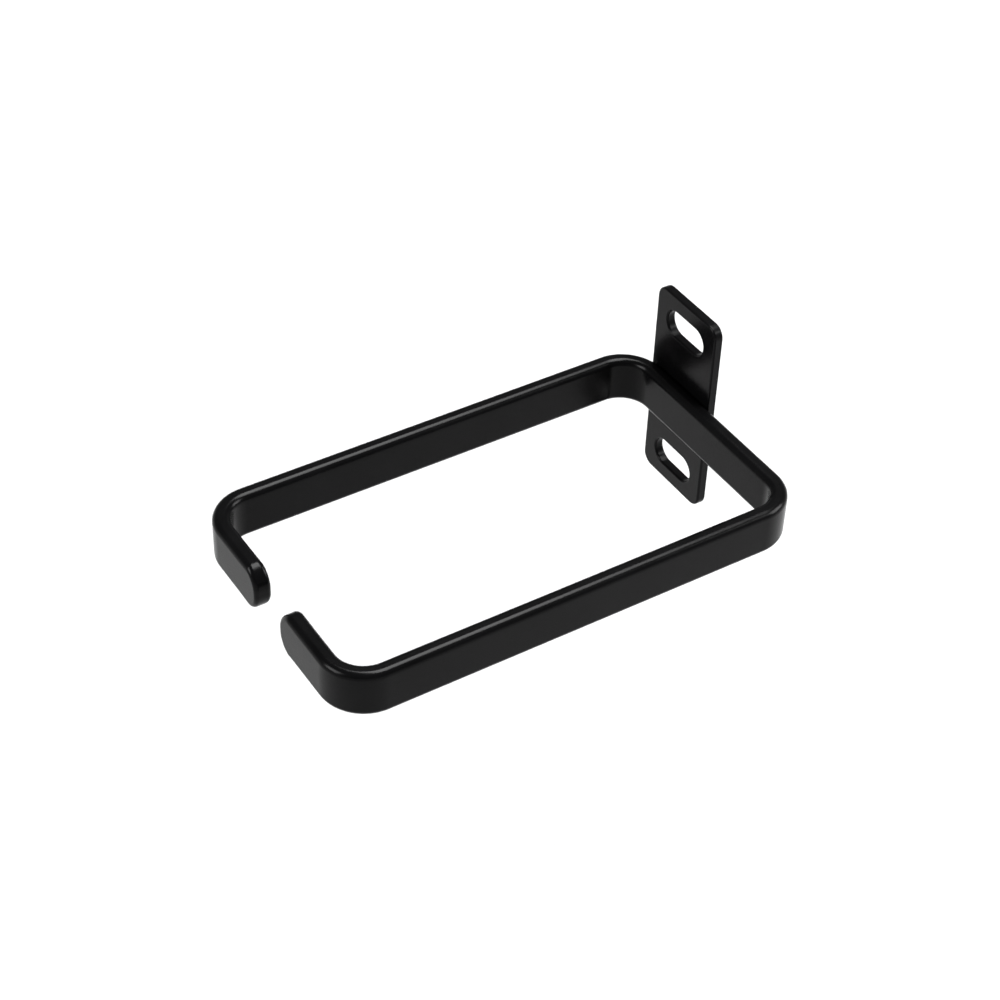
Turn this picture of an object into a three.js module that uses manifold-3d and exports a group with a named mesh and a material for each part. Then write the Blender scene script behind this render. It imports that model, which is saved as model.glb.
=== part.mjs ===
// Hair dryer holder: a flat steel bar bent into a rectangular hoop that is open at the front, tack
// welded to a slotted mounting plate. Millimetres, +Z up. The origin is the centre of the plate's
// back face, which lies against the wall. The hoop reaches out along -Y, offset to +X of the plate.

import * as THREE from 'three';
import { mergeVertices } from 'three/addons/utils/BufferGeometryUtils.js';
import Module from 'manifold-3d';

// Mounting plate
const PLATE_WIDTH = 18.7;
const PLATE_HEIGHT = 44.2;
const PLATE_THICKNESS = 2;
const PLATE_CORNER_RADIUS = 2.6;
const PLATE_EDGE_RADIUS = 0.4;
const SLOT_LENGTH = 11.6;
const SLOT_HEIGHT = 5.7;
const SLOT_PITCH = 31.75;

// Hoop bar
const HOOP_WIDTH = 55.8;
const HOOP_DEPTH = 97.9;
const HOOP_OFFSET = 12.9; // hoop's middle to the right of the plate's middle
const HOOP_DROP = 0.7; // hoop's middle below the plate's middle
const BAR_HEIGHT = 9.8;
const BAR_THICKNESS = 3.4;
const BAR_EDGE_RADIUS = 1.35;
const BEND_RADIUS = 8.9; // on the outside of each bend
const FRONT_GAP = 8.8;
const TIP_NOSE_RADIUS = 4.8; // of the end itself, seen from the front
const TIP_SHOULDER_RADIUS = 2.4; // where the bar's long edges turn into the end
const TIP_SHOULDER_TURN = Math.PI / 6;
const TIP_EDGE_RADIUS = 1;
const GAP_OVERCUT = 0.01; // how far the cut for the gap passes the bar's faces

// Tack welds
const WELD_LEG = 1.6;
const WELD_HEIGHT = 5.6;
const WELD_CLEARANCE = 0.05; // kept to the bar, so that the solids stay separate

// Straight pieces in each half of a quarter turn, and across each rounded edge
const BEND_SEGMENTS = 8;
const CORNER_SEGMENTS = 4;
const EDGE_SEGMENTS = 4;
const WELD_SEGMENTS = 12;

const blackPowderCoat = new THREE.MeshStandardMaterial({
  color: 0x141416,
  roughness: 0.42,
  metalness: 0,
});

const wasm = await Module();
wasm.setup();

function toSolid(geometry) {
  const bare = geometry.clone();
  bare.deleteAttribute('normal');
  bare.deleteAttribute('uv');
  const merged = mergeVertices(bare);
  return new wasm.Manifold(new wasm.Mesh({
    numProp: 3,
    vertProperties: new Float32Array(merged.attributes.position.array),
    triVerts: new Uint32Array(merged.index.array),
  }));
}

function toGeometry(solid) {
  const mesh = solid.getMesh();
  const geometry = new THREE.BufferGeometry();
  geometry.setAttribute('position', new THREE.BufferAttribute(mesh.vertProperties, mesh.numProp));
  geometry.setIndex(new THREE.BufferAttribute(mesh.triVerts, 1));
  geometry.computeVertexNormals();
  return geometry;
}

function roundedRectangle(width, height, radius) {
  const x = width / 2 - radius;
  const y = height / 2 - radius;
  const outline = new THREE.Shape();
  outline.absarc(x, y, radius, 0, 0.5 * Math.PI, false);
  outline.absarc(-x, y, radius, 0.5 * Math.PI, Math.PI, false);
  outline.absarc(-x, -y, radius, Math.PI, 1.5 * Math.PI, false);
  outline.absarc(x, -y, radius, 1.5 * Math.PI, 2 * Math.PI, false);
  return outline;
}

// A horizontal slot with round ends, with its centre at the given height.
function slotOutline(centreHeight) {
  const radius = SLOT_HEIGHT / 2;
  const x = SLOT_LENGTH / 2 - radius;
  const outline = new THREE.Path();
  outline.absarc(x, centreHeight, radius, -0.5 * Math.PI, 0.5 * Math.PI, false);
  outline.absarc(-x, centreHeight, radius, 0.5 * Math.PI, 1.5 * Math.PI, false);
  return outline;
}

// Extrudes an outline to its full thickness with every edge rounded, centred about its middle.
function extrudeRounded(outline, thickness, edgeRadius, curveSegments) {
  const geometry = new THREE.ExtrudeGeometry(outline, {
    depth: thickness - 2 * edgeRadius,
    curveSegments,
    bevelThickness: edgeRadius,
    bevelSize: edgeRadius,
    bevelOffset: -edgeRadius,
    bevelSegments: EDGE_SEGMENTS,
  });
  return geometry.translate(0, 0, edgeRadius - thickness / 2);
}

// Extrudes an outline with square edges, centred about its middle.
function extrudeSquare(outline, thickness, curveSegments) {
  const geometry = new THREE.ExtrudeGeometry(outline, {
    depth: thickness,
    curveSegments,
    bevelEnabled: false,
  });
  return geometry.translate(0, 0, -thickness / 2);
}

// Extrudes an outline that flares out to both ends, centred about its middle. What it cuts off is
// left with rounded edges.
function extrudeFlared(outline, thickness, edgeRadius, curveSegments) {
  const geometry = new THREE.ExtrudeGeometry(outline, {
    depth: thickness - 2 * edgeRadius,
    curveSegments,
    bevelThickness: edgeRadius,
    bevelSize: -edgeRadius,
    bevelOffset: edgeRadius,
    bevelSegments: EDGE_SEGMENTS,
  });
  return geometry.translate(0, 0, edgeRadius - thickness / 2);
}

// What is cut out between the hoop's two tips, seen from the front: the gap, opening out above and
// below around the tips. Each tip keeps a blunt nose and a tighter shoulder above and below it.
function frontGapOutline() {
  const nose = TIP_NOSE_RADIUS;
  const shoulder = TIP_SHOULDER_RADIUS;
  const meet = 0.5 * Math.PI - TIP_SHOULDER_TURN;
  const noseX = FRONT_GAP / 2 + nose;
  const shoulderX = noseX - (nose - shoulder) * Math.cos(meet);
  const shoulderZ = BAR_HEIGHT / 2 - shoulder;
  const noseZ = shoulderZ - (nose - shoulder) * Math.sin(meet);
  const outline = new THREE.Shape();
  outline.moveTo(-shoulderX, -BAR_HEIGHT);
  outline.lineTo(shoulderX, -BAR_HEIGHT);
  outline.absarc(shoulderX, -shoulderZ, shoulder, 1.5 * Math.PI, Math.PI + meet, true);
  outline.absarc(noseX, -noseZ, nose, Math.PI + meet, Math.PI, true);
  outline.absarc(noseX, noseZ, nose, Math.PI, Math.PI - meet, true);
  outline.absarc(shoulderX, shoulderZ, shoulder, Math.PI - meet, 0.5 * Math.PI, true);
  outline.lineTo(shoulderX, BAR_HEIGHT);
  outline.lineTo(-shoulderX, BAR_HEIGHT);
  outline.absarc(-shoulderX, shoulderZ, shoulder, 0.5 * Math.PI, meet, true);
  outline.absarc(-noseX, noseZ, nose, meet, 0, true);
  outline.absarc(-noseX, -noseZ, nose, 0, -meet, true);
  outline.absarc(-shoulderX, -shoulderZ, shoulder, -meet, -0.5 * Math.PI, true);
  return outline;
}

// The bent bar, lying flat about the hoop's middle, with the gap at the front.
function hoopBar() {
  const outline = roundedRectangle(HOOP_WIDTH, HOOP_DEPTH, BEND_RADIUS);
  const innerWidth = HOOP_WIDTH - 2 * BAR_THICKNESS;
  const innerDepth = HOOP_DEPTH - 2 * BAR_THICKNESS;
  outline.holes.push(roundedRectangle(innerWidth, innerDepth, BEND_RADIUS - BAR_THICKNESS));
  const closedHoop = extrudeRounded(outline, BAR_HEIGHT, BAR_EDGE_RADIUS, BEND_SEGMENTS);

  const gapDepth = BAR_THICKNESS + 2 * GAP_OVERCUT;
  const gap = extrudeFlared(frontGapOutline(), gapDepth, TIP_EDGE_RADIUS, CORNER_SEGMENTS);
  gap.rotateX(Math.PI / 2);
  gap.translate(0, (BAR_THICKNESS - HOOP_DEPTH) / 2, 0);
  return toGeometry(toSolid(closedHoop).subtract(toSolid(gap)));
}

// The plate, lying flat: its height runs along +Y and its back faces +Z until it is stood up.
function mountingPlate() {
  const outline = roundedRectangle(PLATE_WIDTH, PLATE_HEIGHT, PLATE_CORNER_RADIUS);
  outline.holes.push(slotOutline(SLOT_PITCH / 2));
  outline.holes.push(slotOutline(-SLOT_PITCH / 2));
  return extrudeRounded(outline, PLATE_THICKNESS, PLATE_EDGE_RADIUS, CORNER_SEGMENTS);
}

// A tack weld about the hoop's middle: a quarter of an ellipsoid in the corner between one side of
// the plate and the outside of the hoop's back. At the left, where the plate reaches past the start
// of the bend, it fills in behind the curve.
function tackWeld(side) {
  const plateSide = side * PLATE_WIDTH / 2 - HOOP_OFFSET;
  const pastBend = Math.max(0, Math.abs(plateSide) - (HOOP_WIDTH / 2 - BEND_RADIUS));
  const fall = BEND_RADIUS - Math.sqrt(BEND_RADIUS ** 2 - pastBend ** 2);
  const bead = new THREE.SphereGeometry(1, 2 * WELD_SEGMENTS, WELD_SEGMENTS);
  bead.scale(WELD_LEG, WELD_LEG, WELD_HEIGHT / 2);
  bead.translate(plateSide, HOOP_DEPTH / 2 - fall, 0);

  const plateSpace = new THREE.BoxGeometry(PLATE_WIDTH, 4 * WELD_LEG, 2 * WELD_HEIGHT);
  plateSpace.translate(-HOOP_OFFSET, HOOP_DEPTH / 2, 0);

  const grown = 2 * WELD_CLEARANCE;
  const outline = roundedRectangle(HOOP_WIDTH + grown, HOOP_DEPTH + grown, BEND_RADIUS + WELD_CLEARANCE);
  const barSpace = extrudeSquare(outline, 2 * WELD_HEIGHT, BEND_SEGMENTS);
  return toGeometry(toSolid(bead).subtract(toSolid(plateSpace)).subtract(toSolid(barSpace)));
}

function addMesh(parent, name, geometry) {
  const mesh = new THREE.Mesh(geometry, blackPowderCoat);
  mesh.name = name;
  parent.add(mesh);
  return mesh;
}

const holder = new THREE.Group();

const hoop = new THREE.Group();
hoop.position.set(HOOP_OFFSET, -PLATE_THICKNESS - HOOP_DEPTH / 2, -HOOP_DROP);
holder.add(hoop);
addMesh(hoop, 'hoop_bar', hoopBar());
addMesh(hoop, 'tack_weld_left', tackWeld(-1));
addMesh(hoop, 'tack_weld_right', tackWeld(1));

const plate = addMesh(holder, 'mounting_plate', mountingPlate());
plate.rotation.x = Math.PI / 2;
plate.position.y = -PLATE_THICKNESS / 2;

export default holder;
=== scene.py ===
import math

import bmesh
import bpy
from mathutils import Matrix, Vector


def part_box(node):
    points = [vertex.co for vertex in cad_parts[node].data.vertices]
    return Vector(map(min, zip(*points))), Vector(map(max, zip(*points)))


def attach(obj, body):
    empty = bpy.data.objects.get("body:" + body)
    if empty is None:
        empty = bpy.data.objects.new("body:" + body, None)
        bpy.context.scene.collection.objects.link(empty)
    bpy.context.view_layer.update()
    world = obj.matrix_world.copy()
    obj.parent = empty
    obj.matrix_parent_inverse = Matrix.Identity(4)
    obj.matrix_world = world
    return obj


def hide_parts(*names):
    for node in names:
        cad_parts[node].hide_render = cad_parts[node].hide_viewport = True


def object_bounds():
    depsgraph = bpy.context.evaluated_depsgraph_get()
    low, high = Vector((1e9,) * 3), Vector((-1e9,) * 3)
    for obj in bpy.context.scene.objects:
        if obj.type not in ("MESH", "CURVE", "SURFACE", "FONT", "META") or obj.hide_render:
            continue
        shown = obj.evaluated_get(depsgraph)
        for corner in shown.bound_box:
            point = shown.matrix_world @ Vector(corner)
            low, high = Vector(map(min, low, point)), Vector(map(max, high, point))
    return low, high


# Hair dryer holder: a bent flat bar on a slotted wall plate, in satin black powder coat.
#
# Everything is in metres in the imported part's own frame: +Z up, -Y out from the wall, and the
# origin in the middle of the plate's back face.

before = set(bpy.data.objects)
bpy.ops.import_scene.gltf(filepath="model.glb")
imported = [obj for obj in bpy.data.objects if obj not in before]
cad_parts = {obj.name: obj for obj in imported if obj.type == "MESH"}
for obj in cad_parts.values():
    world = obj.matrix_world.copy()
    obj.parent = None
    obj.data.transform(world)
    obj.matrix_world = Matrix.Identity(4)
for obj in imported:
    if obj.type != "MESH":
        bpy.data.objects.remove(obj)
cad_low, cad_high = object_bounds()
hoop_low, hoop_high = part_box("hoop_bar")
plate_low, plate_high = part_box("mounting_plate")

MM = 0.001
UP = Vector((0, 0, 1))

# Hoop
HOOP_SIZE = hoop_high - hoop_low
HOOP_CENTRE = (hoop_high + hoop_low) / 2
BAR_HEIGHT = HOOP_SIZE.z
BAR_THICKNESS = 3.4 * MM
BAR_EDGE_RADIUS = 1.35 * MM
BEND_RADIUS = 8.9 * MM  # on the outside of each bend
FRONT_GAP = 8.8 * MM
TIP_NOSE_RADIUS = 4.8 * MM  # of the bar's end itself, seen on its flat side
TIP_SHOULDER_RADIUS = 2.4 * MM  # where the bar's long edges turn into the end
TIP_SHOULDER_TURN = math.pi / 6
TIP_EDGE_RADIUS = 0.8 * MM
TIP_EDGE_LENGTH = 5 * MM  # over which the tip's edges widen into the bar's

# Plate
PLATE_SIZE = plate_high - plate_low
PLATE_CENTRE = (plate_high + plate_low) / 2
PLATE_CORNER_RADIUS = 2.6 * MM
PLATE_EDGE_RADIUS = 0.4 * MM
SLOT_LENGTH = 11.6 * MM
SLOT_HEIGHT = 5.7 * MM
SLOT_PITCH = 31.75 * MM

# Tack welds
WELD_LEG = 1.6 * MM
WELD_HEIGHT = 5.6 * MM
RIPPLE_PITCH = 1.1 * MM
RIPPLE_DEPTH = 0.07  # share of the weld's leg
WELD_SHARP_ANGLE = math.radians(50)

# Steps in a quarter turn of each kind of curve, and the longest piece of a straight
EDGE_STEPS = 8
CORNER_STEPS = 12
TIP_STEPS = 36
BEND_STEPS = 20
STRAIGHT_STEP = 4 * MM
WELD_STEPS = 8
WELD_STATIONS = 48

# Powder coat. Each noise is given by the size of its patches.
COAT_IOR = 1.17
TINT_PATCH = 9 * MM
TINT_DARK = (0.0013, 0.0013, 0.0014, 1)
TINT_PALE = (0.0023, 0.0023, 0.0025, 1)
SHEEN_PATCH = 3.5 * MM
ROUGHNESS_LOW = 0.205
ROUGHNESS_HIGH = 0.235
PEEL_PATCH = 0.9 * MM
PEEL_DEPTH = 0.006 * MM
GRAIN_PATCH = 0.22 * MM
GRAIN_DEPTH = 0.002 * MM
NOISE_LOW = 0.3  # the noise mostly stays between these two
NOISE_HIGH = 0.7

# Camera: it looks at a point a little left of the hoop's middle and behind it
CAMERA_AZIMUTH = math.radians(56.57)
CAMERA_ELEVATION = math.radians(40.71)
CAMERA_ROLL = math.radians(2.17)
CAMERA_DISTANCE = 0.4227
CAMERA_LENS = 81.43  # mm
CAMERA_SENSOR = 36  # mm
CAMERA_CLIP_START = 10 * MM
CAMERA_AIM = HOOP_CENTRE + Vector((-5.09, 2.62, 0)) * MM

# Studio. Softboxes are placed from the hoop's middle, and a radiance of 1 is plain white.
FLOOR_RADIUS = 0.5
FLOOR_SIDES = 96
FLOOR_DROP = 70 * MM
FLOOR_ALBEDO = 0.44
FLOOR_ROUGHNESS = 0.9
FLOOR_SPECULAR = 0.2
SKY_FADE_START = math.radians(-6)
SKY_FADE_END = math.radians(13)
SKY_LOW = 1
SKY_HIGH = 0.2
OVERHEAD_PLACE = Vector((-0.24, 0.64, 2))
OVERHEAD_SIZE = (1.6, 0.9)
OVERHEAD_RADIANCE = 21
FRONT_AZIMUTH = math.radians(-8)
FRONT_DISTANCE = 2
FRONT_SIZE = (1, 1)
FRONT_RADIANCE = 12
BACK_AZIMUTH = math.radians(151)
BACK_DISTANCE = 0.6
BACK_SIZE = (0.3, 0.3)
BACK_RADIANCE = 13
SIDE_ELEVATION = math.radians(27)


# ---------------------------------------------------------------- camera, floor and light

def direction(azimuth, elevation):
    """From the object outwards. Azimuth 0 is in front of it, on -Y, and 90 degrees is on +X."""
    return Vector((
        math.sin(azimuth) * math.cos(elevation),
        -math.cos(azimuth) * math.cos(elevation),
        math.sin(elevation),
    ))


def add_camera():
    back = direction(CAMERA_AZIMUTH, CAMERA_ELEVATION)
    level_right = UP.cross(back).normalized()
    roll = Matrix.Rotation(CAMERA_ROLL, 3, back)
    right = roll @ level_right
    up = back.cross(right)
    camera = bpy.data.objects.new("camera", bpy.data.cameras.new("camera"))
    camera.data.sensor_width = CAMERA_SENSOR
    camera.data.lens = CAMERA_LENS
    camera.data.clip_start = CAMERA_CLIP_START
    place = Matrix((right, up, back)).transposed().to_4x4()
    place.translation = CAMERA_AIM + back * CAMERA_DISTANCE
    camera.matrix_world = place
    bpy.context.scene.collection.objects.link(camera)
    bpy.context.scene.camera = camera


def add_softbox(name, place, size, radiance):
    """A rectangular lamp at a place seen from the hoop's middle, facing it."""
    width, depth = size
    lamp = bpy.data.lights.new(name, "AREA")
    lamp.shape = "RECTANGLE"
    lamp.size = width
    lamp.size_y = depth
    lamp.energy = radiance * math.pi * width * depth
    box = bpy.data.objects.new(name, lamp)
    box.location = HOOP_CENTRE + place
    box.rotation_mode = "QUATERNION"
    box.rotation_quaternion = place.to_track_quat("Z", "Y")
    box.visible_camera = False
    bpy.context.scene.collection.objects.link(box)
    return box


def add_floor():
    mesh = bpy.data.meshes.new("floor")
    shape = bmesh.new()
    bmesh.ops.create_circle(shape, cap_ends=True, segments=FLOOR_SIDES, radius=FLOOR_RADIUS)
    shape.to_mesh(mesh)
    shape.free()
    floor = bpy.data.objects.new("floor", mesh)
    floor.location = (HOOP_CENTRE.x, HOOP_CENTRE.y, cad_low.z - FLOOR_DROP)
    bpy.context.scene.collection.objects.link(floor)
    mesh.materials.append(pale_floor())


def pale_floor():
    material = bpy.data.materials.new("pale_floor")
    material.use_nodes = True
    shader = material.node_tree.nodes["Principled BSDF"]
    shader.inputs["Base Color"].default_value = (FLOOR_ALBEDO, FLOOR_ALBEDO, FLOOR_ALBEDO, 1)
    shader.inputs["Roughness"].default_value = FLOOR_ROUGHNESS
    shader.inputs["Specular IOR Level"].default_value = FLOOR_SPECULAR
    return material


def add_sky():
    """White below the horizon, and fading to a dim room just above it."""
    world = bpy.data.worlds.new("studio")
    world.use_nodes = True
    bpy.context.scene.world = world
    nodes, links = world.node_tree.nodes, world.node_tree.links
    place = nodes.new("ShaderNodeTexCoord")
    height = nodes.new("ShaderNodeSeparateXYZ")
    fade = nodes.new("ShaderNodeMapRange")
    fade.interpolation_type = "SMOOTHSTEP"
    fade.inputs["From Min"].default_value = math.sin(SKY_FADE_START)
    fade.inputs["From Max"].default_value = math.sin(SKY_FADE_END)
    fade.inputs["To Min"].default_value = SKY_LOW
    fade.inputs["To Max"].default_value = SKY_HIGH
    links.new(place.outputs["Generated"], height.inputs["Vector"])
    links.new(height.outputs["Z"], fade.inputs["Value"])
    links.new(fade.outputs["Result"], nodes["Background"].inputs["Strength"])
    nodes["Background"].inputs["Color"].default_value = (1, 1, 1, 1)


def add_softboxes():
    """One overhead, facing straight down, and one each in front and behind, facing the hoop."""
    overhead = add_softbox("overhead_softbox", OVERHEAD_PLACE, OVERHEAD_SIZE, OVERHEAD_RADIANCE)
    overhead.rotation_quaternion.identity()
    front_place = direction(FRONT_AZIMUTH, SIDE_ELEVATION) * FRONT_DISTANCE
    back_place = direction(BACK_AZIMUTH, SIDE_ELEVATION) * BACK_DISTANCE
    add_softbox("front_softbox", front_place, FRONT_SIZE, FRONT_RADIANCE)
    add_softbox("back_softbox", back_place, BACK_SIZE, BACK_RADIANCE)


# ---------------------------------------------------------------- powder coat

def add_noise(tree, place, patch):
    """Noise on the object, in patches of the given size."""
    noise = tree.nodes.new("ShaderNodeTexNoise")
    noise.inputs["Scale"].default_value = 1 / patch
    tree.links.new(place.outputs["Object"], noise.inputs["Vector"])
    return noise.outputs["Fac"]


def add_range(tree, noise, low, high):
    """Spreads noise out from low to high."""
    spread = tree.nodes.new("ShaderNodeMapRange")
    spread.inputs["From Min"].default_value = NOISE_LOW
    spread.inputs["From Max"].default_value = NOISE_HIGH
    spread.inputs["To Min"].default_value = low
    spread.inputs["To Max"].default_value = high
    tree.links.new(noise, spread.inputs["Value"])
    return spread.outputs["Result"]


def add_bump(tree, noise, depth):
    bump = tree.nodes.new("ShaderNodeBump")
    bump.inputs["Distance"].default_value = depth
    tree.links.new(noise, bump.inputs["Height"])
    return bump


def powder_coat():
    """Black polyester powder: a hard satin skin with orange peel and a fine grain in it."""
    material = bpy.data.materials.new("powder_coat")
    material.use_nodes = True
    tree = material.node_tree
    shader = tree.nodes["Principled BSDF"]
    shader.inputs["IOR"].default_value = COAT_IOR
    place = tree.nodes.new("ShaderNodeTexCoord")

    tint = tree.nodes.new("ShaderNodeMix")
    tint.data_type = "RGBA"
    tint.inputs["A"].default_value = TINT_DARK
    tint.inputs["B"].default_value = TINT_PALE
    shade = add_range(tree, add_noise(tree, place, TINT_PATCH), 0, 1)
    tree.links.new(shade, tint.inputs["Factor"])
    tree.links.new(tint.outputs["Result"], shader.inputs["Base Color"])

    sheen = add_range(tree, add_noise(tree, place, SHEEN_PATCH), ROUGHNESS_LOW, ROUGHNESS_HIGH)
    tree.links.new(sheen, shader.inputs["Roughness"])

    grain = add_bump(tree, add_noise(tree, place, GRAIN_PATCH), GRAIN_DEPTH)
    peel = add_bump(tree, add_noise(tree, place, PEEL_PATCH), PEEL_DEPTH)
    tree.links.new(grain.outputs["Normal"], peel.inputs["Normal"])
    tree.links.new(peel.outputs["Normal"], shader.inputs["Normal"])
    return material


# ---------------------------------------------------------------- shapes

def quarter_turn(steps):
    """The angles from 0 to a quarter turn, in equal steps."""
    return [math.pi / 2 * i / steps for i in range(steps + 1)]


def add_edge(slab, normals, outline, thickness):
    """Adds the rounded edge all round one outline, and gives back the two rings that bound the
    slab's flat faces. Each point of the outline has its outward direction and edge radius."""
    rings = []
    for side in (1, -1):
        for turn in quarter_turn(EDGE_STEPS)[::side]:
            ring = []
            for point, away, radius in outline:
                place = point - away * radius * (1 - math.sin(turn))
                offset = side * (thickness / 2 - radius * (1 - math.cos(turn)))
                ring.append(slab.verts.new((place.x, place.y, offset)))
                outward = away * math.sin(turn)
                normals.append(Vector((outward.x, outward.y, side * math.cos(turn))))
            rings.append(ring)
    for ring, next_ring in zip(rings, rings[1:]):
        for i in range(len(ring)):
            slab.faces.new((ring[i], ring[i - 1], next_ring[i - 1], next_ring[i]))
    return rings[0], rings[-1]


def carry_slab(slab, normals, carry):
    """Moves a slab to its place, and gives back its normals there. carry(place) gives the point
    for a point of the slab, and the directions that the slab's own axes take there."""
    carried = []
    for vertex, normal in zip(slab.verts, normals):
        vertex.co, axes = carry(vertex.co)
        carried.append(axes @ normal)
    return carried


def add_piece(name, node, shape, coat):
    """Makes a piece of a closed shape, standing for a CAD node, and gives back its mesh."""
    bmesh.ops.recalc_face_normals(shape, faces=shape.faces)
    mesh = bpy.data.meshes.new(name)
    shape.to_mesh(mesh)
    shape.free()
    mesh.shade_smooth()
    mesh.materials.append(coat)
    piece = bpy.data.objects.new(name, mesh)
    bpy.context.scene.collection.objects.link(piece)
    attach(piece, "root")
    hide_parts(node)
    return mesh


# ---------------------------------------------------------------- hoop bar

TIP_LENGTH = (TIP_NOSE_RADIUS * (1 - math.sin(TIP_SHOULDER_TURN))
              + TIP_SHOULDER_RADIUS * math.sin(TIP_SHOULDER_TURN))
MIDDLE_RADIUS = BEND_RADIUS - BAR_THICKNESS / 2
BEND_LENGTH = MIDDLE_RADIUS * math.pi / 2
FRONT_STRAIGHT = (HOOP_SIZE.x - FRONT_GAP) / 2 - BEND_RADIUS
SIDE_STRAIGHT = HOOP_SIZE.y - 2 * BEND_RADIUS
BACK_STRAIGHT = HOOP_SIZE.x - 2 * BEND_RADIUS
STRAIGHTS = [FRONT_STRAIGHT, SIDE_STRAIGHT, BACK_STRAIGHT, SIDE_STRAIGHT, FRONT_STRAIGHT]
BAR_LENGTH = sum(STRAIGHTS) + (len(STRAIGHTS) - 1) * BEND_LENGTH


def bar_stations():
    """Lengths along the straight bar where it has a cross-section, between its rounded ends."""
    stations = []
    start = 0
    for straight in STRAIGHTS:
        count = math.ceil(straight / STRAIGHT_STEP)
        stations += [start + straight * i / count for i in range(count + 1)]
        start += straight
        stations += [start + BEND_LENGTH * i / BEND_STEPS for i in range(1, BEND_STEPS)]
        start += BEND_LENGTH
    return [s for s in stations if TIP_LENGTH < s < BAR_LENGTH - TIP_LENGTH]


def bar_edge_radius(length):
    """The edge radius at a length along the bar, smoothly smaller towards its tips."""
    share = min(1, length / TIP_EDGE_LENGTH, (BAR_LENGTH - length) / TIP_EDGE_LENGTH)
    share *= share * (3 - 2 * share)
    return TIP_EDGE_RADIUS + (BAR_EDGE_RADIUS - TIP_EDGE_RADIUS) * share


def tip_outline():
    """The lower half of the straight bar's first end, from its middle to its lower long edge."""
    meet = math.pi / 2 - TIP_SHOULDER_TURN
    inward = Vector((math.cos(meet), math.sin(meet)))
    shoulder = Vector((TIP_LENGTH, TIP_SHOULDER_RADIUS - BAR_HEIGHT / 2))
    nose = shoulder + (TIP_NOSE_RADIUS - TIP_SHOULDER_RADIUS) * inward
    outline = []
    for turn in quarter_turn(TIP_STEPS):
        away = Vector((-math.cos(turn), -math.sin(turn)))
        if turn < meet:
            outline.append((nose + TIP_NOSE_RADIUS * away, away))
        else:
            outline.append((shoulder + TIP_SHOULDER_RADIUS * away, away))
    return outline


def bar_outline():
    """The bar before it is bent, seen on its flat side, along x, with its corners rounded."""
    tip = tip_outline()
    lower_edge = [(Vector((x, -BAR_HEIGHT / 2)), Vector((0, -1))) for x in bar_stations()]
    turn_over = Vector((-1, 1))
    bar_end = Vector((BAR_LENGTH, 0))
    far_tip = [(bar_end + point * turn_over, away * turn_over) for point, away in reversed(tip)]
    lower = tip + lower_edge + far_tip
    flip = Vector((1, -1))
    upper = [(point * flip, away * flip) for point, away in reversed(lower)]
    return [(point, away, bar_edge_radius(point.x)) for point, away in lower + upper]


def walk_hoop(length):
    """The point at a length along the hoop's middle line, from its right tip, and the heading."""
    point = Vector((FRONT_GAP / 2, (BAR_THICKNESS - HOOP_SIZE.y) / 2, 0))
    heading = 0
    for straight in STRAIGHTS:
        step = min(length, straight)
        ahead = Vector((math.cos(heading), math.sin(heading), 0))
        point += ahead * step
        length -= step
        if length <= 0:
            break
        turn = min(length / MIDDLE_RADIUS, math.pi / 2)
        inward = UP.cross(ahead)
        point += (ahead * math.sin(turn) + inward * (1 - math.cos(turn))) * MIDDLE_RADIUS
        heading += turn
        length -= turn * MIDDLE_RADIUS
    return point, heading


def bend_bar(place):
    """Bends the bar into the hoop: its length along the middle line, its height upright."""
    point, heading = walk_hoop(place.x)
    ahead = Vector((math.cos(heading), math.sin(heading), 0))
    outward = ahead.cross(UP)
    axes = Matrix((ahead, UP, outward)).transposed()
    return HOOP_CENTRE + point + UP * place.y + outward * place.z, axes


def add_hoop_bar(coat):
    bar = bmesh.new()
    normals = []
    for ring in add_edge(bar, normals, bar_outline(), BAR_THICKNESS):
        across = ring[::-1]
        for i in range(len(ring) // 2 - 1):
            bar.faces.new((ring[i], ring[i + 1], across[i + 1], across[i]))
    normals = carry_slab(bar, normals, bend_bar)
    mesh = add_piece("bent_bar", "hoop_bar", bar, coat)
    mesh.normals_split_custom_set_from_vertices(normals)


# ---------------------------------------------------------------- mounting plate

def plate_outline():
    """The plate seen from the front, its height along y."""
    across = PLATE_SIZE.x / 2 - PLATE_CORNER_RADIUS
    upright = PLATE_SIZE.z / 2 - PLATE_CORNER_RADIUS
    centres = [(across, upright), (-across, upright), (-across, -upright), (across, -upright)]
    outline = []
    for quarter, centre in enumerate(centres):
        for turn in quarter_turn(CORNER_STEPS):
            angle = turn + quarter * math.pi / 2
            away = Vector((math.cos(angle), math.sin(angle)))
            outline.append((Vector(centre) + PLATE_CORNER_RADIUS * away, away, PLATE_EDGE_RADIUS))
    return outline


def slot_outline(centre_height):
    """A slot with round ends. Outward is away from the metal, into the slot."""
    radius = SLOT_HEIGHT / 2
    across = SLOT_LENGTH / 2 - radius
    outline = []
    for side in (1, -1):
        for i in range(2 * CORNER_STEPS + 1):
            angle = side * math.pi / 2 - math.pi / 2 * i / CORNER_STEPS
            spoke = Vector((math.cos(angle), math.sin(angle)))
            point = Vector((side * across, centre_height)) + radius * spoke
            outline.append((point, -spoke, PLATE_EDGE_RADIUS))
    return outline


def stand_plate(place):
    """Stands the plate up, its flat sides facing front and back."""
    axes = Matrix(((1, 0, 0), (0, 0, -1), (0, 1, 0)))
    return PLATE_CENTRE + axes @ place, axes


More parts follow.
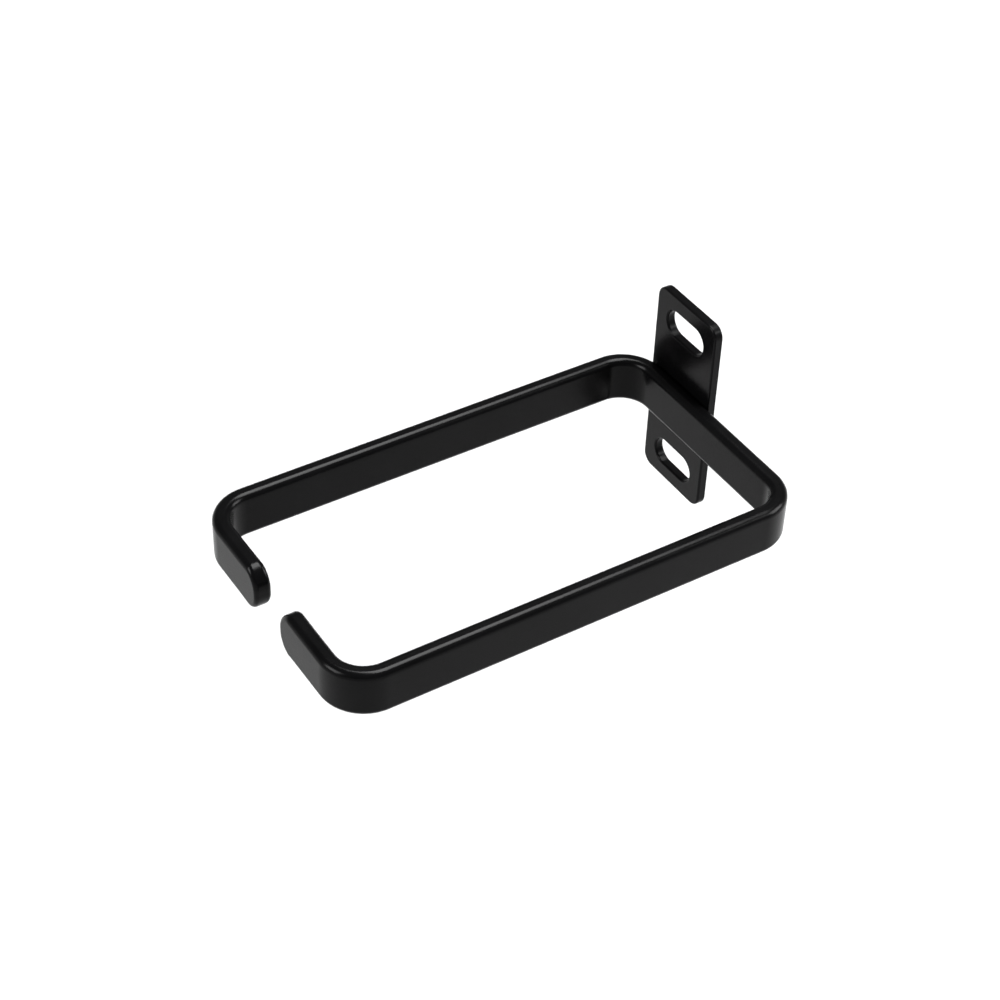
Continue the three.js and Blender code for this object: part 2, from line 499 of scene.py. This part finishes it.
def add_mounting_plate(coat):
    plate = bmesh.new()
    normals = []
    outlines = [plate_outline(), slot_outline(SLOT_PITCH / 2), slot_outline(-SLOT_PITCH / 2)]
    rings = [add_edge(plate, normals, outline, PLATE_SIZE.y) for outline in outlines]
    for face_rings in zip(*rings):
        bounds = []
        for ring in face_rings:
            bounds += [plate.edges.get((ring[i], ring[i - 1])) for i in range(len(ring))]
        bmesh.ops.triangle_fill(plate, edges=bounds, use_beauty=True)
    normals = carry_slab(plate, normals, stand_plate)
    mesh = add_piece("slotted_plate", "mounting_plate", plate, coat)
    mesh.normals_split_custom_set_from_vertices(normals)


# ---------------------------------------------------------------- tack welds

def bar_back(x):
    """How far back the outside of the hoop reaches at x, where it may have begun to bend."""
    past_bend = max(0, abs(x - HOOP_CENTRE.x) - (HOOP_SIZE.x / 2 - BEND_RADIUS))
    return hoop_high.y - BEND_RADIUS + math.sqrt(BEND_RADIUS ** 2 - past_bend ** 2)


def weld_section(plate_side, side, reach):
    """A weld's cross-section: round from the bar to the plate's side, then back along the bar."""
    section = []
    for turn in quarter_turn(WELD_STEPS):
        x = plate_side + side * reach * math.cos(turn)
        section.append((x, bar_back(x) + reach * math.sin(turn)))
    for i in range(WELD_STEPS):
        x = plate_side + side * reach * i / WELD_STEPS
        section.append((x, bar_back(x)))
    return section


def add_weld_bead(name, node, side, coat):
    """A short rippled weld in the corner between one side of the plate and the hoop's back."""
    plate_side = PLATE_CENTRE.x + side * PLATE_SIZE.x / 2
    bead = bmesh.new()
    rings = []
    for i in range(1, WELD_STATIONS):
        turn = math.pi * i / WELD_STATIONS
        z = HOOP_CENTRE.z - WELD_HEIGHT / 2 * math.cos(turn)
        ripple = (1 - math.cos(2 * math.pi * z / RIPPLE_PITCH)) / 2
        reach = WELD_LEG * math.sin(turn) * (1 - RIPPLE_DEPTH * ripple)
        section = weld_section(plate_side, side, reach)
        rings.append([bead.verts.new((x, y, z)) for x, y in section])
    for ring, next_ring in zip(rings, rings[1:]):
        for i in range(len(ring)):
            bead.faces.new((ring[i], ring[i - 1], next_ring[i - 1], next_ring[i]))
    for ring, end in ((rings[0], -1), (rings[-1], 1)):
        z = HOOP_CENTRE.z + end * WELD_HEIGHT / 2
        pole = bead.verts.new((plate_side, bar_back(plate_side), z))
        for i in range(len(ring)):
            bead.faces.new((ring[i], ring[i - 1], pole))
    add_piece(name, node, bead, coat).set_sharp_from_angle(angle=WELD_SHARP_ANGLE)


# ---------------------------------------------------------------- the scene

add_camera()
add_floor()
add_sky()
add_softboxes()
black_coat = powder_coat()
add_hoop_bar(black_coat)
add_mounting_plate(black_coat)
add_weld_bead("weld_bead_left", "tack_weld_left", -1, black_coat)
add_weld_bead("weld_bead_right", "tack_weld_right", 1, black_coat)
bpy.context.scene.view_settings.view_transform = "Standard"
